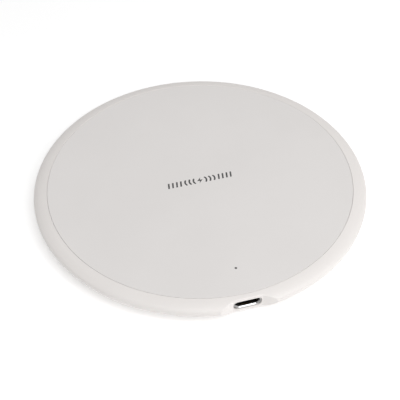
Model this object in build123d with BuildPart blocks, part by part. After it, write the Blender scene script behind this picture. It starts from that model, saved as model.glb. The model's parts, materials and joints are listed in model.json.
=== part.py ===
from build123d import *

import os
from math import asin, cos, degrees, radians, sin, sqrt

# Round wireless charging pad. Millimetres, +Z up, origin at the centre of the underside on the
# surface that the pad stands on. The inlet faces -Y.

os.makedirs("parts", exist_ok=True)

# ---------------------------------------------------------------------------------------------
# Driving dimensions
# ---------------------------------------------------------------------------------------------

# Outer form
pad_radius = 50.0  # the widest ring of the rim
shell_bottom_z = 0.6  # underside of the housing, carried by the feet
waist_z = 4.6  # height of the widest ring
rim_reach = 7.0  # how far the rim's curves run inwards from the widest ring
rim_crown = 2.0  # rise of the upper curve, were it to run on to its own summit
seam_radius = 45.9  # inner edge of the rim, around the cover
seam_gap = 0.05  # open joint between rim and cover
lip_round = 0.12  # rounding on both sides of the seam
root_overlap = 0.1  # how far ribs, rests and bosses are sunk into the wall they stand on
tolerance = 0.01  # for picking edges and faces by their place

# Walls
floor_thickness = 1.1
cover_thickness = 1.1
cavity_corner = 2.0  # radius between the cavity's floor and its wall
rib_thickness = 0.9

# Inlet
notch_depth = 2.5  # the flat face stands this far inside the widest ring
notch_half_width = 4.15
notch_flare_half_width = 8.0  # where the flared sides reach the rim
notch_edge_round = 0.45
inlet_width = 8.0
inlet_height = 2.9
inlet_corner = 1.0
inlet_bottom_z = 2.5
inlet_cut_depth = 3.0  # the mouth is cut this far inwards from the flat face
inlet_cut_excess = 1.0  # and this far outwards
receptacle_pocket_depth = 4.0  # room cut out of the wall behind the flat face

# Circuit board
board_bottom_z = 2.0
board_thickness = 0.8
board_inner_radius = 27.5
board_outer_radius = 41.0
board_half_angle = 39.0
board_tongue_half_width = 5.5
board_tongue_end_y = -45.6
board_tongue_length = 8.0
board_tongue_corner = 0.6
board_corner = 1.2
board_clearance = 0.1  # under and beside the board where the housing holds it
pad_height = 0.04  # tinned copper above the board
solder_film = 0.04  # solder between a pad and the wire on it

# Coil stack, from the cover down
coil_clearance = 0.03
wire_radius = 0.53
turn_pitch = 1.12
first_turn_radius = 10.8
full_half_turns = 18
last_turn_angle = 140.0
tape_thickness = 0.1
tape_outer_margin = 2.0  # bare ferrite around the film
tape_inner_margin = 1.3  # film inside the first turn
foam_margin = 0.5
ferrite_thickness = 0.8
ferrite_radius = 25.0
ferrite_edge = 0.12
lead_x = 5.4  # both leads reach the board at this distance from the centre line
lead_end_y = -31.0
lead_slot_width = 1.4
lead_slot_start_y = -0.8
crossing_clearance = 0.02  # between the winding and the lead that passes under it
crossing_start_ys = (-1.5, -7.5)  # where the inner lead dives under the winding
inner_drop_ys = (-24.5, -28.0)  # where it goes down to the board
outer_drop_ys = (-25.0, -28.2)  # where the outer lead does

# Fixings and feet
fixing_circle = 38.0
fixing_start_angle = 45.0
fixing_count = 4
foot_radius = 4.5
foot_clearance = 0.1
foot_recess_depth = 0.35
foot_edge_round = 0.25
groove_outer_radius = 3.15
groove_inner_radius = 2.61
groove_depth = 0.2
boss_wall = 1.3
boss_height = 0.9
screw_head_radius = 1.9
screw_head_height = 0.8
screw_head_bevel = 0.3
screw_head_gap = 0.05  # between the foot and the screw's head
screw_head_clearance = 0.3  # around the head, in its recess
screw_shaft_clearance = 0.15
cover_boss_wall = 1.6
cover_boss_roof = 0.1  # left between the pilot hole and the cover
cross_length = 2.2
cross_width = 0.45
cross_depth = 0.5
screw_crest_radius = 0.95
screw_root_radius = 0.72

# Snap hooks of the cover and their pockets in the housing's wall
hook_count = 6
hook_width = 6.0
hook_inner_radius = 44.3
snap_bottom_z = 3.5
snap_height = 0.9
snap_depth = 0.45
snap_clearance = 0.15  # above, below and behind the hook, in its pocket
snap_side_clearance = 0.5
snap_mouth_overlap = 0.3  # how far the pocket's cut starts inside the wall
hook_tip_drop = 0.3  # the tip reaches this far under the pocket's lower edge
hook_tip_width = 0.5
hook_width_at_root = 0.9
hook_nose_low = 0.35  # heights of the hook's nose above the pocket's lower edge
hook_nose_high = 0.55
hook_shoulder_drop = 0.1

# Ribs
floor_rib_start = 26.0
floor_rib_length = 17.4
floor_rib_height = 0.9
ledge_radius = 44.4
ring_radius = 42.6
ring_drop = 0.9
ring_gap_depth = 4.0
fence_clearance = 0.3
fence_span = 30.0
fence_height = 2.2

# Status light
light_y = -36.5
light_radius = 0.36
light_stem_radius = 0.72
light_flange_radius = 1.08
light_flange_height = 0.4
light_guide_bottom_z = 3.55

# Pins through the board, and the rests around them
stake_radius = 0.9
stake_head_radius = 1.44
stake_head_height = 0.65
stake_rest_radius = 2.2
board_rest_radius = 1.2

# Printed mark
ink_depth = 0.02  # how far the ink bites into the cover
ink_proud = 0.01
stroke_width = 0.5
wave_radius = 1.6
wave_half_angle = 35.0
wave_reaches = (2.0, 3.3, 4.6)
bar_reaches = (5.9, 7.15, 8.4, 9.65)
bar_half_height = 1.1
bar_slant = 0.4
bolt_points = [(0.35, 1.15), (-0.9, -0.2), (-0.05, -0.2)]

# Screws
screw_length = 2.9
thread_turns = 3
thread_pitch = 0.75
thread_start = 0.2  # plain neck under the head
thread_crest_share = 0.45  # place of the crest in each turn

# Chips with bent leads: (length, width, height) of the bodies
chip_standoff = 0.1
lead_sheet = 0.15
lead_reach = 0.55
lead_foot = 0.45
first_lead_dot_radius = 0.3
first_lead_dot_inset = 0.8
first_lead_dot_depth = 0.05
controller_size = (5.0, 5.0, 1.0)
controller_bevel = 0.12
controller_lead_count = 8  # on each side
controller_lead_pitch = 0.5
controller_lead_width = 0.22
controller_shoulder = 0.45  # height at which the leads leave the body
transistor_size = (4.9, 3.9, 1.45)
transistor_bevel = 0.2
transistor_lead_count = 4
transistor_lead_pitch = 1.27
transistor_lead_width = 0.42
transistor_shoulder = 0.65

# Choke
choke_side = 4.0
choke_height = 1.9
choke_corner = 0.7
choke_groove_depth = 0.25
choke_groove_outer_radius = 1.7
choke_groove_inner_radius = 1.35

# Thermistor, which lies along a radius of the pad
thermistor_angle = -63.0
thermistor_radius = 0.5
thermistor_cover_gap = 0.05
thermistor_start = 20.6
thermistor_end = 22.4
thermistor_corner = 0.35
thermistor_wire = 0.13  # radius
thermistor_wire_offset = 0.34
thermistor_wire_inset = 0.5  # length inside the bead
thermistor_wire_reaches = (3.2, 5.8, 7.2)  # bends and end, outwards from the bead
thermistor_wire_bend = 0.8
thermistor_joint_reach = 6.8

# Tinned pads and solder
chip_pad_excess = (0.35, 0.1)  # over the length and width of a chip's end
chip_pad_shift = 0.1
controller_pad_width = 0.28
transistor_pad_width = 0.6
lead_pad_excess = 0.45
coil_pad_size = (2.8, 3.0)
coil_joint_advance = 0.6  # the joint's centre lies this far up the lead from its end
coil_joint_radius = 1.25
coil_joint_height = 1.15
thermistor_pad_size = (1.4, 0.8)
thermistor_pad_offset = 0.62
thermistor_joint_offset = 0.5
thermistor_solder_radius = 0.45
thermistor_solder_height = 0.42
choke_pad_size = (1.3, 3.0)
choke_pad_offset = 1.75
shell_pad_size = (1.7, 1.4)
shell_pad_x = 4.25
contact_pad_size = (0.42, 1.2)
contact_pad_advance = 0.7

# Receptacle
shell_half_width = 3.7
shell_half_sole = 2.5  # half the narrower bottom
shell_standoff = 0.05  # above the board
shell_shoulder = 1.0  # height of the slanted flanks
shell_corner = 1.0
shell_height = 2.35
shell_sheet = 0.2
shell_back_y = -42.3
shell_flare_y = -47.03
shell_mouth_y = -47.35
shell_flare = 0.1  # growth of the outside towards the mouth
shell_lip_sheet = 0.1  # the sheet thins to this at the mouth
shell_feet_y = (-45.0, -43.2)
shell_foot_length = 1.4
shell_foot_width = 1.0
shell_foot_height = 1.3
shell_foot_overlap = 0.2
shell_leg_overlap = 0.1
tongue_width = 3.9
tongue_thickness = 0.65
tongue_front_y = -46.4
tongue_bottom_z = 4.1
tongue_bevel = 0.12
insulator_depth = 1.1
contact_pitch = 0.65
contact_width = 0.35
contact_sheet = 0.12
contact_front_y = -46.2
contact_foot_length = 0.9

# ---------------------------------------------------------------------------------------------
# Derived dimensions
# ---------------------------------------------------------------------------------------------

rim_centre_radius = pad_radius - rim_reach
rim_drop = waist_z - shell_bottom_z
seam_share = (seam_radius - rim_centre_radius) / rim_reach
cover_top_z = waist_z + rim_crown * sqrt(1 - seam_share**2)
cover_bottom_z = cover_top_z - cover_thickness
cover_radius = seam_radius - seam_gap
floor_z = shell_bottom_z + floor_thickness
foot_top_z = shell_bottom_z + foot_recess_depth
screw_head_top_z = foot_top_z + screw_head_gap + screw_head_height
boss_top_z = floor_z + boss_height
notch_face_y = notch_depth - pad_radius
board_top_z = board_bottom_z + board_thickness
pad_top_z = board_top_z + pad_height
coil_z = cover_bottom_z - coil_clearance - wire_radius
tape_top_z = coil_z - wire_radius
ferrite_top_z = tape_top_z - tape_thickness
ferrite_bottom_z = ferrite_top_z - ferrite_thickness
crossing_z = tape_top_z - wire_radius - crossing_clearance
lead_end_z = pad_top_z + wire_radius + solder_film
board_pocket_z = board_bottom_z - board_clearance
board_pocket_half_width = board_tongue_half_width + 4 * board_clearance
snap_angles = [360 / hook_count * i for i in range(hook_count)]
thermistor_z = cover_bottom_z - thermistor_cover_gap - thermistor_radius
thermistor_joint_z = pad_top_z + thermistor_wire + solder_film
standing = (Align.CENTER, Align.CENTER, Align.MIN)


def polar(radius, angle, height=0.0):
    """A point at this radius and angle around the pad's axis."""
    return Vector(radius * cos(radians(angle)), radius * sin(radians(angle)), height)


def radial_plane(angle):
    """Upright plane through the pad's axis: x runs outwards at this angle, y runs up."""
    return Plane(origin=(0, 0, 0), x_dir=polar(1, angle), z_dir=polar(1, angle - 90))


def board_spot(radius, angle, turn=0.0, height=pad_top_z):
    """A place on the board whose x axis points outwards, turned on by `turn` degrees."""
    return Location(polar(radius, angle, height), (0, 0, angle + turn))


def dome(x, y, base_z, radius, height):
    """Adds a cap of a sphere that stands at this place."""
    sphere_radius = (radius**2 + height**2) / (2 * height)
    edge_angle = degrees(asin((sphere_radius - height) / sphere_radius))
    with BuildSketch(Plane.XZ.offset(-y)) as profile:
        with BuildLine():
            crown = CenterArc(
                (x, base_z + height - sphere_radius),
                sphere_radius,
                start_angle=edge_angle,
                arc_size=90 - edge_angle,
            )
            Polyline(crown @ 1, (x, base_z), crown @ 0)
        make_face()
    revolve(profile.sketch, axis=Axis((x, y, 0), (0, 0, 1)))


def finish(builder, name):
    """Labels a finished piece and writes it."""
    builder.part.label = name
    export_step(builder.part, f"parts/{name}.step")


# ---------------------------------------------------------------------------------------------
# Housing: one-piece bowl with the rounded rim, the inlet notch and the inner ribs
# ---------------------------------------------------------------------------------------------

fence_angles = [30, 90, 150, 210, 330]
floor_rib_angles = [0, 30, 60, 90, 120, 150, 180, 210, 330]
ledge_angles = [15, 45, 75, 105, 135, 165, 195, 225, 256, 284, 315, 345]
stake_spots = [(-9.0, -38.0), (9.0, -38.0)]
board_rest_spots = [polar(29.5, -120), polar(29.5, -60), polar(39, -124), polar(39, -56)]

with BuildPart() as housing:
    # half of the bowl's section, turned around the axis
    with BuildSketch(Plane.XZ):
        with BuildLine():
            rim_centre = (rim_centre_radius, waist_z)
            EllipticalCenterArc(rim_centre, rim_reach, rim_drop, start_angle=270, arc_size=90)
            EllipticalCenterArc(rim_centre, rim_reach, rim_crown, start_angle=0, arc_size=90)
            Polyline(
                (rim_centre_radius, waist_z + rim_crown),
                (0, waist_z + rim_crown),
                (0, shell_bottom_z),
                (rim_centre_radius, shell_bottom_z),
            )
        make_face()
        with BuildLine():
            cavity_wall = FilletPolyline(
                (0, floor_z),
                (seam_radius, floor_z),
                (seam_radius, waist_z + 2 * rim_crown),
                radius=cavity_corner,
            )
            Polyline(cavity_wall @ 1, (0, waist_z + 2 * rim_crown), (0, floor_z))
        make_face(mode=Mode.SUBTRACT)
        lip = vertices().filter_by_position(
            Axis.X, seam_radius - tolerance, seam_radius + tolerance
        )
        fillet(lip.sort_by(Axis.Y)[-1], radius=lip_round)
    revolve(axis=Axis.Z)
    # notch with a flat face and flared sides
    with BuildSketch(Plane.XY):
        flare_y = -sqrt(pad_radius**2 - notch_flare_half_width**2)
        flare_slope = (notch_face_y - flare_y) / (notch_flare_half_width - notch_half_width)
        far_half_width = 2 * notch_flare_half_width
        far_y = notch_face_y - flare_slope * (far_half_width - notch_half_width)
        Polygon(
            (-notch_half_width, notch_face_y),
            (notch_half_width, notch_face_y),
            (far_half_width, far_y),
            (-far_half_width, far_y),
            align=None,
        )
    extrude(amount=waist_z + 2 * rim_crown, mode=Mode.SUBTRACT)
    # rounded edges of the notch
    notch_faces = housing.faces().filter_by(GeomType.PLANE).filter_by(
        lambda face: abs(face.normal_at().Z) < tolerance
        and face.center().Y < notch_face_y + tolerance
    )
    fillet(notch_faces.edges().filter_by(lambda edge: edge.length > 1), radius=notch_edge_round)
    # pocket behind the notch's face, for the end of the board and the receptacle
    with BuildSketch(Plane.XY.offset(board_pocket_z)):
        with Locations((0, -seam_radius)):
            Rectangle(
                2 * board_pocket_half_width,
                receptacle_pocket_depth,
                align=(Align.CENTER, Align.MIN),
            )
    extrude(amount=cover_bottom_z - board_pocket_z, mode=Mode.SUBTRACT)
    # mouth for the receptacle, through the notch's face
    with BuildSketch(Plane.XZ.offset(-notch_face_y - inlet_cut_depth)):
        with Locations((0, inlet_bottom_z + inlet_height / 2)):
            RectangleRounded(inlet_width, inlet_height, inlet_corner)
    extrude(amount=inlet_cut_depth + inlet_cut_excess, mode=Mode.SUBTRACT)
    # recesses for the feet
    with BuildSketch(Plane.XY.offset(shell_bottom_z)):
        with PolarLocations(fixing_circle, fixing_count, start_angle=fixing_start_angle):
            Circle(foot_radius + foot_clearance)
    extrude(amount=foot_recess_depth, mode=Mode.SUBTRACT)
    # bosses for the case screws, sunk from below for their heads
    with BuildSketch(Plane.XY.offset(floor_z - root_overlap)):
        with PolarLocations(fixing_circle, fixing_count, start_angle=fixing_start_angle):
            Circle(screw_head_radius + boss_wall)
    extrude(amount=boss_height + root_overlap)
    with BuildSketch(Plane.XY.offset(foot_top_z)):
        with PolarLocations(fixing_circle, fixing_count, start_angle=fixing_start_angle):
            Circle(screw_head_radius + screw_head_clearance)
    extrude(amount=screw_head_top_z - foot_top_z, mode=Mode.SUBTRACT)
    with BuildSketch(Plane.XY.offset(screw_head_top_z)):
        with PolarLocations(fixing_circle, fixing_count, start_angle=fixing_start_angle):
            Circle(screw_crest_radius + screw_shaft_clearance)
    extrude(amount=boss_top_z - screw_head_top_z, mode=Mode.SUBTRACT)
    # fence around the coil stack
    for angle in fence_angles:
        with BuildSketch(radial_plane(angle - fence_span / 2)):
            with Locations((ferrite_radius + fence_clearance, floor_z - root_overlap)):
                Rectangle(rib_thickness, fence_height, align=Align.MIN)
        revolve(axis=Axis.Z, revolution_arc=fence_span)
    # stiffening ribs on the floor
    for angle in floor_rib_angles:
        with BuildSketch(radial_plane(angle)):
            with Locations((floor_rib_start, floor_z - root_overlap)):
                Rectangle(floor_rib_length, floor_rib_height + root_overlap, align=Align.MIN)
        extrude(amount=rib_thickness / 2, both=True)
    # ledges that carry the cover's edge
    for angle in ledge_angles:
        with BuildSketch(radial_plane(angle)):
            with Locations((ledge_radius, floor_z - root_overlap)):
                Rectangle(
                    seam_radius - ledge_radius + 3 * root_overlap,
                    cover_bottom_z - floor_z + root_overlap,
                    align=Align.MIN,
                )
        extrude(amount=rib_thickness / 2, both=True)
    # pockets in the wall for the cover's snap hooks
    for angle in snap_angles:
        with BuildSketch(radial_plane(angle)):
            with Locations((seam_radius - snap_mouth_overlap, snap_bottom_z - snap_clearance)):
                Rectangle(
                    snap_mouth_overlap + snap_depth + snap_clearance,
                    snap_height + 2 * snap_clearance,
                    align=Align.MIN,
                )
        extrude(amount=hook_width / 2 + snap_side_clearance, both=True, mode=Mode.SUBTRACT)
    # rests under the board
    with BuildSketch(Plane.XY.offset(floor_z - root_overlap)):
        with Locations(*board_rest_spots):
            Circle(board_rest_radius)
        with Locations(*stake_spots):
            Circle(stake_rest_radius)
    extrude(amount=board_bottom_z - floor_z + root_overlap)
    # pins through the board, with heat-formed heads
    with BuildSketch(Plane.XY.offset(board_bottom_z)):
        with Locations(*stake_spots):
            Circle(stake_radius)
    extrude(amount=board_thickness)
    for x, y in stake_spots:
        dome(x, y, board_top_z, stake_head_radius, stake_head_height)

finish(housing, "housing")

# ---------------------------------------------------------------------------------------------
# Printed mark: a bolt between curved strokes and slanted bars, as thin ink in the cover's face
# ---------------------------------------------------------------------------------------------

with BuildPart() as printed_mark:
    with BuildSketch(Plane.XY.offset(cover_top_z - ink_depth)):
        Polygon(*bolt_points, *[(-x, -y) for x, y in bolt_points], align=None)
        for side in (-1, 1):
            # curved strokes that open towards the bolt
            facing = 0 if side > 0 else 180
            for reach in wave_reaches:
                with BuildLine(mode=Mode.PRIVATE):
                    wave = CenterArc(
                        (side * (reach - wave_radius), 0),
                        wave_radius,
                        start_angle=facing - wave_half_angle,
                        arc_size=2 * wave_half_angle,
                    )
                SlotArc(wave, height=stroke_width)
            # slanted bars
            for reach in bar_reaches:
                foot_x = side * reach - bar_slant / 2
                top_x = side * reach + bar_slant / 2
                Polygon(
                    (foot_x - stroke_width / 2, -bar_half_height),
                    (foot_x + stroke_width / 2, -bar_half_height),
                    (top_x + stroke_width / 2, bar_half_height),
                    (top_x - stroke_width / 2, bar_half_height),
                    align=None,
                )
    extrude(amount=ink_depth + ink_proud)

finish(printed_mark, "printed_mark")

# ---------------------------------------------------------------------------------------------
# Top cover: flat disc with screw bosses, snap hooks and a hole for the status light
# ---------------------------------------------------------------------------------------------

with BuildPart() as top_cover:
    with BuildSketch(Plane.XY.offset(cover_bottom_z)):
        Circle(cover_radius)
    extrude(amount=cover_thickness)
    fillet(top_cover.edges().sort_by(Axis.Z)[-1], radius=lip_round)
    # ring that stiffens the edge, open at the receptacle
    with BuildSketch(Plane.XY.offset(cover_bottom_z - ring_drop)):
        Circle(ring_radius + rib_thickness)
        Circle(ring_radius, mode=Mode.SUBTRACT)
        with Locations((0, -ring_radius)):
            Rectangle(2 * board_tongue_half_width, ring_gap_depth, mode=Mode.SUBTRACT)
    extrude(amount=ring_drop)
    # screw bosses
    with BuildSketch(Plane.XY.offset(boss_top_z)):
        with PolarLocations(fixing_circle, fixing_count, start_angle=fixing_start_angle):
            Circle(screw_crest_radius + cover_boss_wall)
    extrude(amount=cover_bottom_z - boss_top_z)
    with BuildSketch(Plane.XY.offset(boss_top_z)):
        with PolarLocations(fixing_circle, fixing_count, start_angle=fixing_start_angle):
            Circle(screw_crest_radius)
    extrude(amount=cover_bottom_z - boss_top_z - cover_boss_roof, mode=Mode.SUBTRACT)
    # snap hooks
    hook_root_radius = hook_inner_radius + hook_width_at_root
    for angle in snap_angles:
        with BuildSketch(radial_plane(angle)):
            Polygon(
                (hook_inner_radius, cover_bottom_z),
                (hook_inner_radius, snap_bottom_z - hook_tip_drop),
                (hook_inner_radius + hook_tip_width, snap_bottom_z - hook_tip_drop),
                (seam_radius + snap_depth, snap_bottom_z + hook_nose_low),
                (seam_radius + snap_depth, snap_bottom_z + hook_nose_high),
                (hook_root_radius, snap_bottom_z + snap_height - hook_shoulder_drop),
                (hook_root_radius, cover_bottom_z),
                align=None,
            )
        extrude(amount=hook_width / 2, both=True)
    # hole for the status light
    with BuildSketch(Plane.XY.offset(cover_bottom_z)):
        with Locations((0, light_y)):
            Circle(light_radius)
    extrude(amount=cover_thickness, mode=Mode.SUBTRACT)
    # bed of the printed mark
    add(printed_mark.part, mode=Mode.SUBTRACT)

finish(top_cover, "top_cover")

# ---------------------------------------------------------------------------------------------
# Status light: light guide in the cover, above the lamp on the board
# ---------------------------------------------------------------------------------------------

with BuildPart() as light_guide:
    with BuildSketch(Plane.XY.offset(light_guide_bottom_z)):
        with Locations((0, light_y)):
            Circle(light_stem_radius)
    extrude(amount=cover_bottom_z - light_guide_bottom_z)
    with BuildSketch(Plane.XY.offset(cover_bottom_z - light_flange_height)):
        with Locations((0, light_y)):
            Circle(light_flange_radius)
    extrude(amount=light_flange_height)
    with BuildSketch(Plane.XY.offset(cover_bottom_z)):
        with Locations((0, light_y)):
            Circle(light_radius)
    extrude(amount=cover_thickness)

finish(light_guide, "light_guide")

# ---------------------------------------------------------------------------------------------
# Feet and case screws
# ---------------------------------------------------------------------------------------------

with BuildPart() as rubber_feet:
    with BuildSketch(Plane.XY):
        with PolarLocations(fixing_circle, fixing_count, start_angle=fixing_start_angle):
            Circle(foot_radius)
    extrude(amount=foot_top_z)
    fillet(rubber_feet.edges().group_by(Axis.Z)[0], radius=foot_edge_round)
    # groove in the sole
    with BuildSketch(Plane.XY):
        with PolarLocations(fixing_circle, fixing_count, start_angle=fixing_start_angle):
            Circle(groove_outer_radius)
            Circle(groove_inner_radius, mode=Mode.SUBTRACT)
    extrude(amount=groove_depth, mode=Mode.SUBTRACT)

finish(rubber_feet, "rubber_feet")

with BuildPart() as one_screw:
    with BuildSketch(Plane.XZ):
        with BuildLine():
            head_bottom = screw_head_top_z - screw_head_height
            tip_z = screw_head_top_z + screw_length
            Polyline(
                (0, tip_z),
                (0, head_bottom),
                (screw_head_radius - screw_head_bevel, head_bottom),
                (screw_head_radius, head_bottom + screw_head_bevel),
                (screw_head_radius, screw_head_top_z),
                (screw_root_radius, screw_head_top_z),
            )
            thread = [(screw_root_radius, screw_head_top_z)]
            for turn in range(thread_turns):
                start = screw_head_top_z + thread_start + turn * thread_pitch
                thread.append((screw_root_radius, start))
                thread.append((screw_crest_radius, start + thread_pitch * thread_crest_share))
                thread.append((screw_root_radius, start + thread_pitch * 2 * thread_crest_share))
            thread.append((0, tip_z))
            Polyline(*thread)
        make_face()
    revolve(axis=Axis.Z)
    # cross recess
    with BuildSketch(Plane.XY.offset(head_bottom)):
        Rectangle(cross_length, cross_width)
        Rectangle(cross_width, cross_length)
    extrude(amount=cross_depth, mode=Mode.SUBTRACT)

with BuildPart() as case_screws:
    with PolarLocations(fixing_circle, fixing_count, start_angle=fixing_start_angle):
        add(one_screw.part)

finish(case_screws, "case_screws")

# ---------------------------------------------------------------------------------------------
# Coil stack: winding, its two leads, adhesive film, ferrite and foam
# ---------------------------------------------------------------------------------------------

# The winding is a chain of half turns whose centres alternate between two points half a pitch
# apart, so that each half turn runs tangentially into the next and the radius grows steadily.
with BuildPart() as coil_winding:
    with BuildLine(Plane.XY.offset(coil_z)):
        for half_turn in range(full_half_turns + 1):
            radius = first_turn_radius + half_turn * turn_pitch / 2
            start_angle = 90 if half_turn % 2 == 0 else 270
            centre_y = 0 if half_turn % 2 == 0 else turn_pitch / 2
            last = half_turn == full_half_turns
            turn_arc = CenterArc(
                (0, centre_y),
                radius,
                start_angle=start_angle,
                arc_size=last_turn_angle if last else 180,
            )
            if half_turn == 0:
                winding_start = turn_arc @ 0
            if last:
                winding_end = turn_arc @ 1
                winding_end_direction = turn_arc % 1
    with BuildSketch(Plane(origin=winding_start, z_dir=(-1, 0, 0))):
        Circle(wire_radius)
    sweep()

finish(coil_winding, "coil_winding")

with BuildPart() as coil_lead_inner:
    with BuildLine():
        FilletPolyline(
            winding_start,
            (lead_x, first_turn_radius, coil_z),
            (lead_x, crossing_start_ys[0], coil_z),
            (lead_x, crossing_start_ys[1], crossing_z),
            (lead_x, inner_drop_ys[0], crossing_z),
            (lead_x, inner_drop_ys[1], lead_end_z),
            (lead_x, lead_end_y, lead_end_z),
            radius=(5.0, 3.0, 3.0, 3.0, 3.0),
        )
    with BuildSketch(Plane(origin=winding_start, z_dir=(1, 0, 0))):
        Circle(wire_radius)
    sweep()

finish(coil_lead_inner, "coil_lead_inner")

with BuildPart() as coil_lead_outer:
    with BuildLine():
        run = (-lead_x - winding_end.X) / winding_end_direction.X
        FilletPolyline(
            winding_end,
            winding_end + winding_end_direction * run,
            (-lead_x, outer_drop_ys[0], coil_z),
            (-lead_x, outer_drop_ys[1], lead_end_z),
            (-lead_x, lead_end_y, lead_end_z),
            radius=(3.0, 2.0, 2.0),
        )
    with BuildSketch(Plane(origin=winding_end, z_dir=winding_end_direction)):
        Circle(wire_radius)
    sweep()

finish(coil_lead_outer, "coil_lead_outer")


def cut_lead_slot():
    """Takes the slot of the inner lead out of a sketch, open towards the board."""
    with Locations((lead_x, lead_slot_start_y)):
        Rectangle(
            lead_slot_width,
            2 * ferrite_radius,
            align=(Align.CENTER, Align.MAX),
            mode=Mode.SUBTRACT,
        )


with BuildPart() as coil_tape:
    with BuildSketch(Plane.XY.offset(ferrite_top_z)):
        Circle(ferrite_radius - tape_outer_margin)
        Circle(first_turn_radius - tape_inner_margin, mode=Mode.SUBTRACT)
        cut_lead_slot()
    extrude(amount=tape_thickness)

finish(coil_tape, "coil_tape")

with BuildPart() as ferrite_shield:
    with BuildSketch(Plane.XY.offset(ferrite_bottom_z)):
        Circle(ferrite_radius)
        cut_lead_slot()
    extrude(amount=ferrite_thickness)
    chamfer(ferrite_shield.edges().filter_by(GeomType.CIRCLE), length=ferrite_edge)

finish(ferrite_shield, "ferrite_shield")

with BuildPart() as foam_pad:
    with BuildSketch(Plane.XY.offset(floor_z)):
        Circle(ferrite_radius - foam_margin)
        cut_lead_slot()
    extrude(amount=ferrite_bottom_z - floor_z)

finish(foam_pad, "foam_pad")

# ---------------------------------------------------------------------------------------------
# Circuit board: crescent around the coil stack, with a tongue under the receptacle
# ---------------------------------------------------------------------------------------------

with BuildPart() as circuit_board:
    with BuildSketch(Plane.XY.offset(board_bottom_z)):
        Circle(board_outer_radius)
        Circle(board_inner_radius, mode=Mode.SUBTRACT)
        Polygon(
            (0, 0),
            tuple(polar(2 * board_outer_radius, -90 - board_half_angle))[:2],
            tuple(polar(2 * board_outer_radius, -90 + board_half_angle))[:2],
            align=None,
            mode=Mode.INTERSECT,
        )
        fillet(vertices(), radius=board_corner)
        with Locations((0, board_tongue_end_y)):
            RectangleRounded(
                2 * board_tongue_half_width,
                board_tongue_length,
                board_tongue_corner,
                align=(Align.CENTER, Align.MIN),
            )
        with Locations(*stake_spots):
            Circle(stake_radius + board_clearance, mode=Mode.SUBTRACT)
    extrude(amount=board_thickness)

finish(circuit_board, "circuit_board")

# ---------------------------------------------------------------------------------------------
# Chips on the board
# ---------------------------------------------------------------------------------------------

choke_spot = board_spot(34.2, -56.6)

# Two-terminal chips: name, places, (length, width, height) and the share of each tinned end
chip_kinds = [
    (
        "resonant_capacitors",
        [Location((x, -30.6, pad_top_z), (0, 0, 90)) for x in (-3.0, -1.0, 1.0, 3.0)],
        (3.2, 1.6, 1.5),
        0.16,
    ),
    (
        "chip_capacitors",
        [board_spot(38.8, angle, 90) for angle in (-124, -120, -116, -64, -60)]
        + [board_spot(29.2, angle, 90) for angle in (-121, -116, -111)]
        + [Location((x, -34.6, pad_top_z), (0, 0, 90)) for x in (-5.2, 5.2)],
        (1.6, 0.8, 0.8),
        0.22,
    ),
    (
        "chip_resistors",
        [board_spot(38.8, angle, 90) for angle in (-112, -108, -72, -68)]
        + [Location((x, -34.6, pad_top_z), (0, 0, 90)) for x in (-3.6, 3.6)]
        + [Location((x, -38.6, pad_top_z), (0, 0, 90)) for x in (-4.8, -3.2, 3.2, 4.8)],
        (1.6, 0.8, 0.45),
        0.18,
    ),
    ("status_lamp", [Location((0, light_y, pad_top_z))], (1.6, 0.8, 0.5), 0.18),
]

for kind_name, spots, (length, width, height), end_share in chip_kinds:
    with BuildPart() as chip_bodies:
        with Locations(*spots):
            Box(length * (1 - 2 * end_share), width, height, align=standing)
    finish(chip_bodies, kind_name)

with BuildPart() as chip_end_caps:
    for kind_name, spots, (length, width, height), end_share in chip_kinds:
        with Locations(*spots):
            with GridLocations(length * (1 - end_share), 0, 2, 1):
                Box(length * end_share, width, height, align=standing)

finish(chip_end_caps, "chip_end_caps")

# Chips with bent leads: the controller has leads on four sides, the transistors on two
controller_spot = board_spot(33.9, -68)
transistor_spots = [board_spot(33.6, -108.8), board_spot(33.6, -120.6)]


def chip_body(spot, size):
    """Moulded body with a bevelled top and a shallow dot at its first lead."""
    length, width, height = size
    dot_x = first_lead_dot_inset - length / 2
    dot_y = first_lead_dot_inset - width / 2
    dot_z = chip_standoff + height - first_lead_dot_depth
    with Locations(spot):
        with Locations((0, 0, chip_standoff)):
            Box(length, width, height, align=standing)
        with Locations((dot_x, dot_y, dot_z)):
            Cylinder(
                first_lead_dot_radius,
                first_lead_dot_depth,
                align=standing,
                mode=Mode.SUBTRACT,
            )


def lead_rows(spot, size, sides, count, pitch):
    """Places for a chip's leads, each with its y axis pointing away from the body."""
    places = []
    for side in sides:
        half_body = size[1] / 2 if side % 180 == 0 else size[0] / 2
        for index in range(count):
            along = (index - (count - 1) / 2) * pitch
            places.append(spot * Location((0, 0, 0), (0, 0, side)) * Location((along, half_body, 0)))
    return places


controller_leads_at = lead_rows(
    controller_spot,
    controller_size,
    (0, 90, 180, 270),
    controller_lead_count,
    controller_lead_pitch,
)
transistor_leads_at = []
for transistor_spot in transistor_spots:
    transistor_leads_at += lead_rows(
        transistor_spot,
        transistor_size,
        (0, 180),
        transistor_lead_count,
        transistor_lead_pitch,
    )


def bent_leads(places, width, shoulder_z):
    """Gull-wing leads: shoulder at the body, riser, and a foot on the pad."""
    with BuildPart() as leads:
        with Locations(*places):
            with Locations((0, lead_reach / 2, shoulder_z)):
                Box(width, lead_reach, lead_sheet, align=standing)
            with Locations((0, lead_reach - lead_sheet / 2, 0)):
                Box(width, lead_sheet, shoulder_z, align=standing)
            with Locations((0, lead_reach + lead_foot / 2, 0)):
                Box(width, lead_foot, lead_sheet, align=standing)
    return leads


with BuildPart() as controller_chip:
    chip_body(controller_spot, controller_size)
    chip_top = controller_chip.faces().sort_by(Axis.Z)[-1]
    chamfer(chip_top.outer_wire().edges(), length=controller_bevel)

finish(controller_chip, "controller_chip")
finish(
    bent_leads(controller_leads_at, controller_lead_width, controller_shoulder),
    "controller_leads",
)

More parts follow.
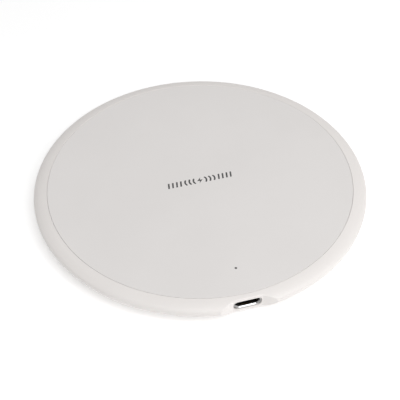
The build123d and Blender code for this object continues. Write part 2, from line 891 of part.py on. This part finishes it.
with BuildPart() as power_transistors:
    for transistor_spot in transistor_spots:
        chip_body(transistor_spot, transistor_size)
    for chip_top in power_transistors.faces().group_by(Axis.Z)[-1]:
        chamfer(chip_top.outer_wire().edges(), length=transistor_bevel)

finish(power_transistors, "power_transistors")
finish(
    bent_leads(transistor_leads_at, transistor_lead_width, transistor_shoulder),
    "transistor_leads",
)

# Shielded choke in the supply line
with BuildPart() as input_choke:
    with Locations(choke_spot):
        Box(choke_side, choke_side, choke_height, align=standing)
    fillet(input_choke.edges().filter_by(Axis.Z), radius=choke_corner)
    # ring groove in the top
    with Locations(choke_spot):
        with Locations((0, 0, choke_height - choke_groove_depth)):
            Cylinder(
                choke_groove_outer_radius,
                choke_groove_depth,
                align=standing,
                mode=Mode.SUBTRACT,
            )
            Cylinder(choke_groove_inner_radius, choke_groove_depth, align=standing)

finish(input_choke, "input_choke")

# ---------------------------------------------------------------------------------------------
# Thermistor at the winding's edge
# ---------------------------------------------------------------------------------------------

with BuildPart() as thermistor_leads:
    wire_start = thermistor_end - thermistor_wire_inset
    wire_bends = [thermistor_end + reach for reach in thermistor_wire_reaches]
    for offset_side in (-1, 1):
        wire_plane = radial_plane(thermistor_angle).offset(offset_side * thermistor_wire_offset)
        with BuildLine(wire_plane):
            FilletPolyline(
                (wire_start, thermistor_z),
                (wire_bends[0], thermistor_z),
                (wire_bends[1], thermistor_joint_z),
                (wire_bends[2], thermistor_joint_z),
                radius=thermistor_wire_bend,
            )
        with BuildSketch(
            Plane(
                origin=wire_plane.from_local_coords((wire_start, thermistor_z, 0)),
                z_dir=wire_plane.x_dir,
            )
        ):
            Circle(thermistor_wire)
        sweep()

finish(thermistor_leads, "thermistor_leads")

with BuildPart() as thermistor:
    with BuildSketch(radial_plane(thermistor_angle)):
        with BuildLine():
            Polyline(
                (thermistor_start, thermistor_z),
                (thermistor_end, thermistor_z),
                (thermistor_end, thermistor_z + thermistor_radius),
                (thermistor_start, thermistor_z + thermistor_radius),
                close=True,
            )
        make_face()
        fillet(vertices().sort_by(Axis.Y)[-2:], radius=thermistor_corner)
    revolve(
        axis=Axis(polar(thermistor_start, thermistor_angle, thermistor_z), polar(1, thermistor_angle))
    )
    add(thermistor_leads.part, mode=Mode.SUBTRACT)

finish(thermistor, "thermistor")

# ---------------------------------------------------------------------------------------------
# Micro-USB receptacle: shell, insulator and contacts
# ---------------------------------------------------------------------------------------------

shell_bottom = board_top_z + shell_standoff
shell_top = shell_bottom + shell_height
slant_growth = 0.41  # share of the growth that moves the slanted flanks' corners


def receptacle_outline(growth=0.0):
    """Outline of the shell: wide and flat above, narrower below, between slanted flanks."""
    half_width = shell_half_width + growth
    half_sole = shell_half_sole + slant_growth * growth
    shoulder_z = shell_bottom + shell_shoulder - slant_growth * growth
    outline = Polygon(
        (-half_sole, shell_bottom - growth),
        (half_sole, shell_bottom - growth),
        (half_width, shoulder_z),
        (half_width, shell_top + growth),
        (-half_width, shell_top + growth),
        (-half_width, shoulder_z),
        align=None,
    )
    fillet(outline.vertices().group_by(Axis.Y)[-1], radius=shell_corner + growth)


with BuildPart() as usb_shell:
    # straight tube
    with BuildSketch(Plane.XZ.offset(-shell_back_y)):
        receptacle_outline()
    extrude(amount=shell_back_y - shell_flare_y)
    # flared mouth
    with BuildSketch(Plane.XZ.offset(-shell_flare_y)):
        receptacle_outline()
    with BuildSketch(Plane.XZ.offset(-shell_mouth_y)):
        receptacle_outline(growth=shell_flare)
    loft()
    # inside
    with BuildSketch(Plane.XZ.offset(-shell_back_y)):
        receptacle_outline(growth=-shell_sheet)
    extrude(amount=shell_back_y - shell_flare_y, mode=Mode.SUBTRACT)
    with BuildSketch(Plane.XZ.offset(-shell_flare_y)):
        receptacle_outline(growth=-shell_sheet)
    with BuildSketch(Plane.XZ.offset(-shell_mouth_y)):
        receptacle_outline(growth=shell_flare - shell_lip_sheet)
    loft(mode=Mode.SUBTRACT)
    # feet soldered to the board
    for side in (-1, 1):
        for y in shell_feet_y:
            foot_x = side * (shell_half_width + shell_foot_length / 2 - shell_foot_overlap)
            leg_x = side * (shell_half_width - shell_leg_overlap)
            with Locations((foot_x, y, pad_top_z)):
                Box(shell_foot_length, shell_foot_width, shell_sheet, align=standing)
            with Locations((leg_x, y, pad_top_z)):
                Box(shell_sheet, shell_foot_width, shell_foot_height, align=standing)

finish(usb_shell, "usb_shell")

contact_places = [(index * contact_pitch, 0, 0) for index in (-2, -1, 0, 1, 2)]
from_front = (Align.CENTER, Align.MIN, Align.MIN)

with BuildPart() as usb_contacts:
    contact_z = tongue_bottom_z - contact_sheet
    contact_length = shell_back_y - contact_front_y + contact_sheet
    with Locations(*contact_places):
        with Locations((0, contact_front_y, contact_z)):
            Box(contact_width, contact_length, contact_sheet, align=from_front)
        with Locations((0, shell_back_y, pad_top_z)):
            Box(contact_width, contact_sheet, contact_z - pad_top_z, align=from_front)
        with Locations((0, shell_back_y + contact_sheet, pad_top_z)):
            Box(contact_width, contact_foot_length, contact_sheet, align=from_front)

finish(usb_contacts, "usb_contacts")

with BuildPart() as usb_insulator:
    with BuildSketch(Plane.XZ.offset(-shell_back_y)):
        receptacle_outline(growth=-shell_sheet)
    extrude(amount=insulator_depth)
    with Locations((0, tongue_front_y, tongue_bottom_z)):
        Box(tongue_width, shell_back_y - tongue_front_y, tongue_thickness, align=from_front)
    chamfer(usb_insulator.edges().sort_by(Axis.Y)[:4].filter_by(Axis.X), length=tongue_bevel)
    add(usb_contacts.part, mode=Mode.SUBTRACT)

finish(usb_insulator, "usb_insulator")

# ---------------------------------------------------------------------------------------------
# Tinned pads and solder
# ---------------------------------------------------------------------------------------------

thermistor_joint = board_spot(
    thermistor_end + thermistor_joint_reach,
    thermistor_angle,
    height=board_top_z,
)
coil_joint_y = lead_end_y + coil_joint_advance

with BuildPart() as board_pads:
    for kind_name, spots, (length, width, height), end_share in chip_kinds:
        end_length = length * end_share
        with Locations(*[spot * Location((0, 0, -pad_height)) for spot in spots]):
            with GridLocations(length - end_length + 2 * chip_pad_shift, 0, 2, 1):
                Box(
                    end_length + chip_pad_excess[0],
                    width + chip_pad_excess[1],
                    pad_height,
                    align=standing,
                )
    for places, pad_width in (
        (controller_leads_at, controller_pad_width),
        (transistor_leads_at, transistor_pad_width),
    ):
        with Locations(*places):
            with Locations((0, lead_reach + lead_foot / 2, -pad_height)):
                Box(pad_width, lead_foot + lead_pad_excess, pad_height, align=standing)
    with Locations((-lead_x, coil_joint_y, board_top_z), (lead_x, coil_joint_y, board_top_z)):
        Box(*coil_pad_size, pad_height, align=standing)
    for side in (-1, 1):
        with Locations(thermistor_joint * Location((0, side * thermistor_pad_offset, 0))):
            Box(*thermistor_pad_size, pad_height, align=standing)
        with Locations(choke_spot * Location((side * choke_pad_offset, 0, -pad_height))):
            Box(*choke_pad_size, pad_height, align=standing)
        for y in shell_feet_y:
            with Locations((side * shell_pad_x, y, board_top_z)):
                Box(*shell_pad_size, pad_height, align=standing)
    with Locations((0, shell_back_y + contact_pad_advance, board_top_z)):
        with Locations(*contact_places):
            Box(*contact_pad_size, pad_height, align=standing)

finish(board_pads, "board_pads")

with BuildPart() as solder_joints:
    for side in (-1, 1):
        dome(side * lead_x, coil_joint_y, pad_top_z, coil_joint_radius, coil_joint_height)
        wire_end = (thermistor_joint * Location((0, side * thermistor_joint_offset, 0))).position
        dome(wire_end.X, wire_end.Y, pad_top_z, thermistor_solder_radius, thermistor_solder_height)
    add(coil_lead_inner.part, mode=Mode.SUBTRACT)
    add(coil_lead_outer.part, mode=Mode.SUBTRACT)
    add(thermistor_leads.part, mode=Mode.SUBTRACT)

finish(solder_joints, "solder_joints")
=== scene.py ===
import json
import math

import bmesh
import bpy
from mathutils import Matrix, Vector


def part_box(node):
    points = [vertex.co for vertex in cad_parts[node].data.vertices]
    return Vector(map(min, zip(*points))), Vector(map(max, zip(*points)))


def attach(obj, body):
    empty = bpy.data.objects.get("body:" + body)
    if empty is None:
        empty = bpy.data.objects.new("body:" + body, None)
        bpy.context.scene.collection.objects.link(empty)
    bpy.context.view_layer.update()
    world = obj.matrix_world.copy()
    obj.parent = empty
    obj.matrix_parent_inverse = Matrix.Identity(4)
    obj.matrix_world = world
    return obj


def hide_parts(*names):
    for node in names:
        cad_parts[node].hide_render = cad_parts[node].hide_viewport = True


# A round white wireless charging pad, +Z up, with its inlet facing -Y. Lengths are in metres.

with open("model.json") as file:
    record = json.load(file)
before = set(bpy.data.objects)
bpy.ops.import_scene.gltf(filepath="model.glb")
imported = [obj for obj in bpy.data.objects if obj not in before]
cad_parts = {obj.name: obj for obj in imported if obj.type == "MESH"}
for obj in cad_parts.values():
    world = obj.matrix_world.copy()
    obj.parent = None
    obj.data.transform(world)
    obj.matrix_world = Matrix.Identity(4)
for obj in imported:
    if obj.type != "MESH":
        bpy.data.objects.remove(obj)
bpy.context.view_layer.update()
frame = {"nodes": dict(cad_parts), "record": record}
MM = 0.001
UP = Vector((0, 0, 1))

# ---------------------------------------------------------------------------------------------
# Camera
# ---------------------------------------------------------------------------------------------

CAMERA_AZIMUTH = -15.25  # degrees; the camera stands left of the inlet's side
CAMERA_ELEVATION = 43.99
CAMERA_ROLL = -0.739
CAMERA_DISTANCE = 301.6 * MM
CAMERA_AIM = Vector((0, 0, 4.6 * MM))  # on the axis, at the height of the widest ring
CAMERA_LENS = 89.71  # in millimetres, like the sensor
CAMERA_SENSOR = 36
CAMERA_SHIFT_Y = -0.0386
CAMERA_CLIP_START = 0.01
CAMERA_CLIP_END = 10


def direction(azimuth, elevation):
    """Unit vector towards a place at this azimuth and elevation, in degrees; 0 is the -Y side."""
    a = math.radians(azimuth)
    e = math.radians(elevation)
    return Vector((math.sin(a) * math.cos(e), -math.cos(a) * math.cos(e), math.sin(e)))


def make_camera():
    """Camera that looks down at the pad from the front left."""
    data = bpy.data.cameras.new("camera")
    data.lens = CAMERA_LENS
    data.sensor_width = CAMERA_SENSOR
    data.shift_y = CAMERA_SHIFT_Y
    data.clip_start = CAMERA_CLIP_START
    data.clip_end = CAMERA_CLIP_END
    camera = bpy.data.objects.new("camera", data)
    bpy.context.scene.collection.objects.link(camera)
    back = direction(CAMERA_AZIMUTH, CAMERA_ELEVATION)
    roll = Matrix.Rotation(math.radians(CAMERA_ROLL), 3, "Z").to_quaternion()
    camera.location = CAMERA_AIM + back * CAMERA_DISTANCE
    camera.rotation_mode = "QUATERNION"
    camera.rotation_quaternion = (-back).to_track_quat("-Z", "Y") @ roll
    bpy.context.scene.camera = camera


make_camera()

# ---------------------------------------------------------------------------------------------
# Light
# ---------------------------------------------------------------------------------------------

LIGHT_DISTANCE = 0.65
WORLD_AT_HORIZON = 0.14
WORLD_AT_ZENITH = 0.69


def area_light(name, azimuth, elevation, size, power):
    """Soft square light that looks at the pad from this direction."""
    data = bpy.data.lights.new(name, "AREA")
    data.shape = "SQUARE"
    data.size = size
    data.energy = power
    light = bpy.data.objects.new(name, data)
    bpy.context.scene.collection.objects.link(light)
    back = direction(azimuth, elevation)
    light.location = back * LIGHT_DISTANCE
    light.rotation_mode = "QUATERNION"
    light.rotation_quaternion = (-back).to_track_quat("-Z", "Y")


def make_world():
    """White studio that is dim at the horizon and bright overhead."""
    world = bpy.data.worlds.new("studio")
    world.use_nodes = True
    tree = world.node_tree
    background = tree.nodes["Background"]
    background.inputs["Color"].default_value = (1, 1, 1, 1)
    coordinates = tree.nodes.new("ShaderNodeTexCoord")
    split = tree.nodes.new("ShaderNodeSeparateXYZ")
    strength = tree.nodes.new("ShaderNodeMapRange")
    strength.inputs["To Min"].default_value = WORLD_AT_HORIZON
    strength.inputs["To Max"].default_value = WORLD_AT_ZENITH
    tree.links.new(coordinates.outputs["Generated"], split.inputs["Vector"])
    tree.links.new(split.outputs["Z"], strength.inputs["Value"])
    tree.links.new(strength.outputs["Result"], background.inputs["Strength"])
    bpy.context.scene.world = world


make_world()
area_light("side_light", azimuth=48, elevation=30, size=0.7, power=1.45)
area_light("top_light", azimuth=12, elevation=62, size=0.45, power=1.6)
bpy.context.scene.view_settings.view_transform = "Standard"

# ---------------------------------------------------------------------------------------------
# Node helpers
# ---------------------------------------------------------------------------------------------


class Look:
    """A node material under construction: a principled shader and the nodes that feed it."""

    def __init__(self, name, roughness=0.5, metallic=0.0, **settings):
        self.material = bpy.data.materials.new(name)
        self.material.use_nodes = True
        self.tree = self.material.node_tree
        self.shader = self.tree.nodes["Principled BSDF"]
        self.shader.inputs["Roughness"].default_value = roughness
        self.shader.inputs["Metallic"].default_value = metallic
        for socket, value in settings.items():
            self.shader.inputs[socket.replace("_", " ")].default_value = value
        coordinates = self.tree.nodes.new("ShaderNodeTexCoord")
        self.place = coordinates.outputs["Object"]

    def link(self, source, target):
        self.tree.links.new(source, target)

    def noise(self, size, detail=2.0, stretch=(1, 1, 1)):
        """Noise whose features are about this many metres across."""
        mapping = self.tree.nodes.new("ShaderNodeMapping")
        mapping.inputs["Scale"].default_value = [s / size for s in stretch]
        self.link(self.place, mapping.inputs["Vector"])
        node = self.tree.nodes.new("ShaderNodeTexNoise")
        node.inputs["Scale"].default_value = 1.0
        node.inputs["Detail"].default_value = detail
        self.link(mapping.outputs["Vector"], node.inputs["Vector"])
        return node.outputs["Fac"]

    def cells(self, size):
        """Round cells about this many metres apart."""
        node = self.tree.nodes.new("ShaderNodeTexVoronoi")
        node.inputs["Scale"].default_value = 1.0 / size
        self.link(self.place, node.inputs["Vector"])
        return node.outputs["Distance"]

    def wave(self, size, distortion=0.0):
        """Wave texture whose crests are this many metres apart."""
        node = self.tree.nodes.new("ShaderNodeTexWave")
        node.inputs["Scale"].default_value = math.pi / (10 * size)
        node.inputs["Distortion"].default_value = distortion
        self.link(self.place, node.inputs["Vector"])
        return node

    def bands(self, size, axis, distortion):
        """Stripes across this axis."""
        node = self.wave(size, distortion)
        node.bands_direction = axis
        return node.outputs["Fac"]

    def rings(self, size):
        """Rings around the Z axis."""
        node = self.wave(size)
        node.wave_type = "RINGS"
        node.rings_direction = "Z"
        return node.outputs["Fac"]

    def ramp(self, source, stops):
        """Colour or grey from a value, through these (position, colour) stops."""
        node = self.tree.nodes.new("ShaderNodeValToRGB")
        for element, (position, colour) in zip(node.color_ramp.elements, stops):
            element.position = position
            grey = isinstance(colour, (int, float))
            element.color = (colour, colour, colour, 1) if grey else (*colour, 1)
        self.link(source, node.inputs["Fac"])
        return node.outputs["Color"]

    def mix(self, first, second, share):
        """Blend of two colours, with this share of the second."""
        node = self.tree.nodes.new("ShaderNodeMix")
        node.data_type = "RGBA"
        node.inputs["Factor"].default_value = share
        first_input, second_input = [s for s in node.inputs if s.type == "RGBA"]
        self.link(first, first_input)
        self.link(second, second_input)
        return next(s for s in node.outputs if s.type == "RGBA")

    def colour(self, source):
        self.link(source, self.shader.inputs["Base Color"])

    def mottle(self, source, dark, light, spread=(0.3, 0.7)):
        """Base colour that runs from dark to light with a value."""
        self.colour(self.ramp(source, [(spread[0], dark), (spread[1], light)]))

    def roughness(self, source, low, high):
        """Roughness that runs from low to high with a value."""
        node = self.tree.nodes.new("ShaderNodeMapRange")
        node.inputs["To Min"].default_value = low
        node.inputs["To Max"].default_value = high
        self.link(source, node.inputs["Value"])
        self.link(node.outputs["Result"], self.shader.inputs["Roughness"])

    def bump(self, source, height):
        """Relief this many metres high, on top of any relief added before."""
        node = self.tree.nodes.new("ShaderNodeBump")
        node.inputs["Distance"].default_value = height
        self.link(source, node.inputs["Height"])
        normal = self.shader.inputs["Normal"]
        if normal.is_linked:
            self.link(normal.links[0].from_socket, node.inputs["Normal"])
        self.link(node.outputs["Normal"], normal)


# ---------------------------------------------------------------------------------------------
# Materials of the outside
# ---------------------------------------------------------------------------------------------


def moulded_plastic(name, light, dark, roughness):
    """White moulded plastic: faint flow shading and a very fine spark-eroded grain."""
    look = Look(name, roughness=roughness, Specular_IOR_Level=0.45)
    look.mottle(look.noise(22 * MM, detail=3), dark, light, spread=(0.35, 0.65))
    look.roughness(look.noise(6 * MM, detail=4), roughness - 0.05, roughness + 0.06)
    look.bump(look.noise(0.09 * MM), height=0.004 * MM)
    return look


def shell_plastic():
    """Housing: satin, with a slight unevenness from the mould."""
    look = moulded_plastic(
        "shell_white",
        light=(0.825, 0.792, 0.77),
        dark=(0.81, 0.777, 0.755),
        roughness=0.36,
    )
    look.bump(look.noise(1.1 * MM), height=0.003 * MM)
    return look


def cover_plastic():
    """Charging face: a little duller than the housing."""
    return moulded_plastic(
        "cover_white",
        light=(0.782, 0.757, 0.742),
        dark=(0.767, 0.742, 0.727),
        roughness=0.46,
    )


def print_ink():
    look = Look("printed_ink", roughness=0.55)
    look.mottle(look.noise(0.18 * MM, detail=3), 0.06, 0.10, spread=(0.3, 0.75))
    look.bump(look.noise(0.1 * MM), height=0.004 * MM)
    return look


def light_guide_plastic():
    look = Look("light_guide_smoke", roughness=0.22, Coat_Weight=0.3)
    look.mottle(look.noise(0.6 * MM), 0.075, 0.105)
    look.bump(look.noise(0.4 * MM), height=0.004 * MM)
    return look


def foot_rubber():
    look = Look("foot_rubber", roughness=0.82, Specular_IOR_Level=0.3)
    look.mottle(look.noise(1.2 * MM, detail=5), 0.30, 0.37)
    look.bump(look.noise(0.22 * MM, detail=3), height=0.02 * MM)
    return look


def screw_steel():
    """Zinc-plated steel with turning marks."""
    look = Look("screw_steel", metallic=1.0)
    look.mottle(look.noise(0.6 * MM, detail=4), 0.42, 0.56)
    look.roughness(look.noise(0.3 * MM, detail=4), 0.24, 0.44)
    look.bump(look.rings(0.12 * MM), height=0.004 * MM)
    return look


def receptacle_steel():
    """Nickel-plated sheet, rolled along the receptacle."""
    look = Look("nickel_steel", metallic=1.0)
    rolled = look.noise(0.08 * MM, stretch=(1, 0.04, 1))
    look.mottle(look.noise(1.8 * MM, detail=3), 0.50, 0.58)
    look.roughness(rolled, 0.18, 0.30)
    look.bump(rolled, height=0.0015 * MM)
    return look


def receptacle_plastic():
    look = Look("black_liquid_crystal_polymer", roughness=0.4)
    look.mottle(look.noise(0.4 * MM, detail=3), 0.012, 0.024)
    look.bump(look.noise(0.12 * MM), height=0.005 * MM)
    return look


def contact_gold():
    look = Look("gold_contact", roughness=0.24, metallic=1.0)
    look.mottle(look.noise(0.4 * MM, detail=3), (0.66, 0.42, 0.14), (0.82, 0.56, 0.22))
    look.bump(look.noise(0.12 * MM), height=0.003 * MM)
    return look


# ---------------------------------------------------------------------------------------------
# Materials of the coil stack
# ---------------------------------------------------------------------------------------------


def coil_copper():
    """Fine enamelled copper strands."""
    look = Look("litz_copper", metallic=1.0, Coat_Weight=0.35)
    strands = look.noise(0.18 * MM, stretch=(1, 1, 0.35))
    look.mottle(strands, (0.42, 0.15, 0.055), (0.72, 0.32, 0.14))
    look.roughness(strands, 0.26, 0.45)
    look.bump(strands, height=0.04 * MM)
    return look


def adhesive_film():
    """Amber polyimide."""
    look = Look("polyimide_film", roughness=0.2, Transmission_Weight=0.15, IOR=1.6)
    look.mottle(look.noise(4 * MM, detail=3), (0.55, 0.27, 0.04), (0.66, 0.36, 0.07))
    look.bump(look.noise(1.6 * MM), height=0.02 * MM)
    return look


def ferrite():
    look = Look("sintered_ferrite")
    look.mottle(look.noise(0.4 * MM, detail=5), 0.030, 0.058)
    look.roughness(look.noise(0.9 * MM, detail=4), 0.42, 0.66)
    look.bump(look.cells(0.16 * MM), height=0.01 * MM)
    return look


def foam():
    look = Look("black_foam", roughness=0.95, Sheen_Weight=0.25)
    pores = look.cells(0.5 * MM)
    look.mottle(pores, 0.012, 0.045, spread=(0.1, 0.6))
    look.bump(pores, height=0.2 * MM)
    return look


# ---------------------------------------------------------------------------------------------
# Materials of the board
# ---------------------------------------------------------------------------------------------


def board_laminate():
    """Green solder mask over woven glass."""
    look = Look("solder_mask", roughness=0.28, Coat_Weight=0.25)
    weave_x = look.bands(0.5 * MM, axis="X", distortion=0.6)
    weave_y = look.bands(0.5 * MM, axis="Y", distortion=0.6)
    weave = look.mix(weave_x, weave_y, 0.5)
    cloudy = [(0.35, (0.006, 0.07, 0.022)), (0.65, (0.012, 0.11, 0.035))]
    woven = [(0.3, (0.008, 0.09, 0.028)), (0.8, (0.016, 0.13, 0.042))]
    clouds = look.ramp(look.noise(3 * MM, detail=4), cloudy)
    look.colour(look.mix(clouds, look.ramp(weave, woven), 0.4))
    look.bump(weave, height=0.006 * MM)
    return look


def tin():
    look = Look("tinned_metal", metallic=1.0)
    look.mottle(look.noise(0.5 * MM, detail=4), 0.58, 0.72)
    look.roughness(look.noise(0.25 * MM, detail=3), 0.24, 0.46)
    look.bump(look.noise(0.3 * MM, detail=3), height=0.008 * MM)
    return look


def solder():
    look = Look("solder", metallic=1.0)
    look.mottle(look.noise(0.7 * MM, detail=3), 0.55, 0.70)
    look.roughness(look.noise(0.4 * MM, detail=3), 0.14, 0.36)
    look.bump(look.noise(0.6 * MM), height=0.02 * MM)
    return look


def lamp_body():
    look = Look("lamp_resin", roughness=0.18, Coat_Weight=0.4)
    look.mottle(look.noise(0.6 * MM), (0.62, 0.58, 0.30), (0.76, 0.73, 0.45))
    look.bump(look.noise(0.3 * MM), height=0.006 * MM)
    return look


def component_body(name, dark, light, roughness=0.55):
    """Fired or moulded body of a component."""
    look = Look(name, roughness=roughness)
    look.mottle(look.noise(0.3 * MM, detail=4), dark, light)
    look.bump(look.noise(0.12 * MM, detail=3), height=0.005 * MM)
    return look


def film_capacitor_body():
    return component_body("capacitor_brown", (0.20, 0.13, 0.07), (0.26, 0.17, 0.10))


def capacitor_ceramic():
    return component_body("capacitor_tan", (0.29, 0.19, 0.10), (0.36, 0.24, 0.13))


def resistor_body():
    return component_body("resistor_glaze", (0.012, 0.012, 0.014), (0.022, 0.022, 0.025), 0.3)


def choke_ferrite():
    return component_body("choke_grey", (0.035, 0.035, 0.038), (0.06, 0.06, 0.064))


def chip_epoxy():
    return component_body("moulded_epoxy", (0.013, 0.013, 0.014), (0.022, 0.022, 0.024))


def thermistor_epoxy():
    return component_body("glazed_bead", (0.012, 0.012, 0.013), (0.02, 0.02, 0.022), 0.3)


# ---------------------------------------------------------------------------------------------
# Materials onto the CAD nodes
# ---------------------------------------------------------------------------------------------

# Each function above has the name of the material slot that it fills.
looks = {
    make_look.__name__: make_look()
    for make_look in (
        shell_plastic,
        cover_plastic,
        print_ink,
        light_guide_plastic,
        foot_rubber,
        screw_steel,
        receptacle_steel,
        receptacle_plastic,
        contact_gold,
        coil_copper,
        adhesive_film,
        ferrite,
        foam,
        board_laminate,
        tin,
        solder,
        lamp_body,
        film_capacitor_body,
        capacitor_ceramic,
        resistor_body,
        choke_ferrite,
        chip_epoxy,
        thermistor_epoxy,
    )
}

for subpart in frame["record"]["subparts"]:
    mesh = frame["nodes"][subpart["node"]].data
    material = looks[subpart["material_slot"]].material
    if len(mesh.materials) == 0:
        mesh.materials.append(material)
    for index in range(len(mesh.materials)):
        mesh.materials[index] = material

# ---------------------------------------------------------------------------------------------
# Litz winding: the CAD wire redrawn as a bundle of twisted enamelled strands
# ---------------------------------------------------------------------------------------------

TURN_PITCH = 1.12 * MM
FIRST_TURN_RADIUS = 10.8 * MM
FULL_HALF_TURNS = 18
LAST_TURN_ANGLE = 140.0
WIRE_RADIUS = 0.53 * MM
OUTER_STRANDS = 6
STRAND_RADIUS = 0.18 * MM
STRAND_ORBIT = WIRE_RADIUS - STRAND_RADIUS
STRAND_SIDES = 6
TWIST_LENGTH = 7.0 * MM
STEP_LENGTH = 0.45 * MM


def winding_centre_line():
    """Points along the spiral: half turns whose centres alternate between two points."""
    low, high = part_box("coil_winding")
    height = (low.z + high.z) / 2
    points = []
    for half_turn in range(FULL_HALF_TURNS + 1):
        radius = FIRST_TURN_RADIUS + half_turn * TURN_PITCH / 2
        odd = half_turn % 2 == 1
        start = math.radians(270 if odd else 90)
        centre_y = TURN_PITCH / 2 if odd else 0
        last = half_turn == FULL_HALF_TURNS
        sweep = math.radians(LAST_TURN_ANGLE if last else 180)
        steps = round(radius * sweep / STEP_LENGTH)
        for step in range(steps + (1 if last else 0)):
            angle = start + sweep * step / steps
            x = radius * math.cos(angle)
            y = centre_y + radius * math.sin(angle)
            points.append(Vector((x, y, height)))
    return points


def cross_section(points, index):
    """Sideways and upward unit vectors across a line, at one of its points."""
    before = points[max(index - 1, 0)]
    after = points[min(index + 1, len(points) - 1)]
    along = (after - before).normalized()
    sideways = along.cross(UP).normalized()
    return sideways, sideways.cross(along)


def add_strand(builder, points):
    """Closed tube of one strand's thickness along these points."""
    rings = []
    for index, point in enumerate(points):
        sideways, upward = cross_section(points, index)
        ring = []
        for side in range(STRAND_SIDES):
            angle = 2 * math.pi * side / STRAND_SIDES
            offset = sideways * math.cos(angle) + upward * math.sin(angle)
            ring.append(builder.verts.new(point + offset * STRAND_RADIUS))
        rings.append(ring)
    for first, second in zip(rings, rings[1:]):
        for side in range(STRAND_SIDES):
            following = (side + 1) % STRAND_SIDES
            corners = (first[side], first[following], second[following], second[side])
            builder.faces.new(corners).smooth = True
    builder.faces.new(list(reversed(rings[0])))
    builder.faces.new(rings[-1])


def twisted_path(line, phase):
    """The line, displaced so that it winds around itself as one strand of a bundle."""
    path = []
    travelled = 0.0
    for index, point in enumerate(line):
        if index > 0:
            travelled += (point - line[index - 1]).length
        sideways, upward = cross_section(line, index)
        angle = phase + 2 * math.pi * travelled / TWIST_LENGTH
        offset = sideways * math.cos(angle) + upward * math.sin(angle)
        path.append(point + offset * STRAND_ORBIT)
    return path


def make_winding():
    """Six strands twisted around a straight one, which together fill the CAD wire."""
    line = winding_centre_line()
    builder = bmesh.new()
    add_strand(builder, line)
    for strand in range(OUTER_STRANDS):
        add_strand(builder, twisted_path(line, phase=2 * math.pi * strand / OUTER_STRANDS))
    bmesh.ops.recalc_face_normals(builder, faces=builder.faces)
    mesh = bpy.data.meshes.new("litz_winding")
    builder.to_mesh(mesh)
    builder.free()
    mesh.materials.append(looks["coil_copper"].material)
    winding = bpy.data.objects.new("litz_winding", mesh)
    bpy.context.scene.collection.objects.link(winding)
    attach(winding, "root")
    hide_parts("coil_winding")


make_winding()

# ---------------------------------------------------------------------------------------------
# Floor
# ---------------------------------------------------------------------------------------------

FLOOR_HALF = 6.0
FLOOR_DROP = 0.02 * MM  # keeps the floor clear of the soles
FLOOR_GLOW = 0.28  # lifts the paper to pure white


def make_floor():
    """White paper under the pad."""
    builder = bmesh.new()
    corners = []
    for x, y in ((-1, -1), (1, -1), (1, 1), (-1, 1)):
        corners.append(builder.verts.new((x * FLOOR_HALF, y * FLOOR_HALF, -FLOOR_DROP)))
    builder.faces.new(corners)
    mesh = bpy.data.meshes.new("floor")
    builder.to_mesh(mesh)
    builder.free()
    floor = bpy.data.objects.new("floor", mesh)
    bpy.context.scene.collection.objects.link(floor)
    look = Look("floor_paper", roughness=0.7, Emission_Strength=FLOOR_GLOW)
    tone = look.ramp(look.noise(80 * MM, detail=3), [(0.3, 0.90), (0.7, 0.91)])
    look.colour(tone)
    look.link(tone, look.shader.inputs["Emission Color"])
    mesh.materials.append(look.material)


make_floor()
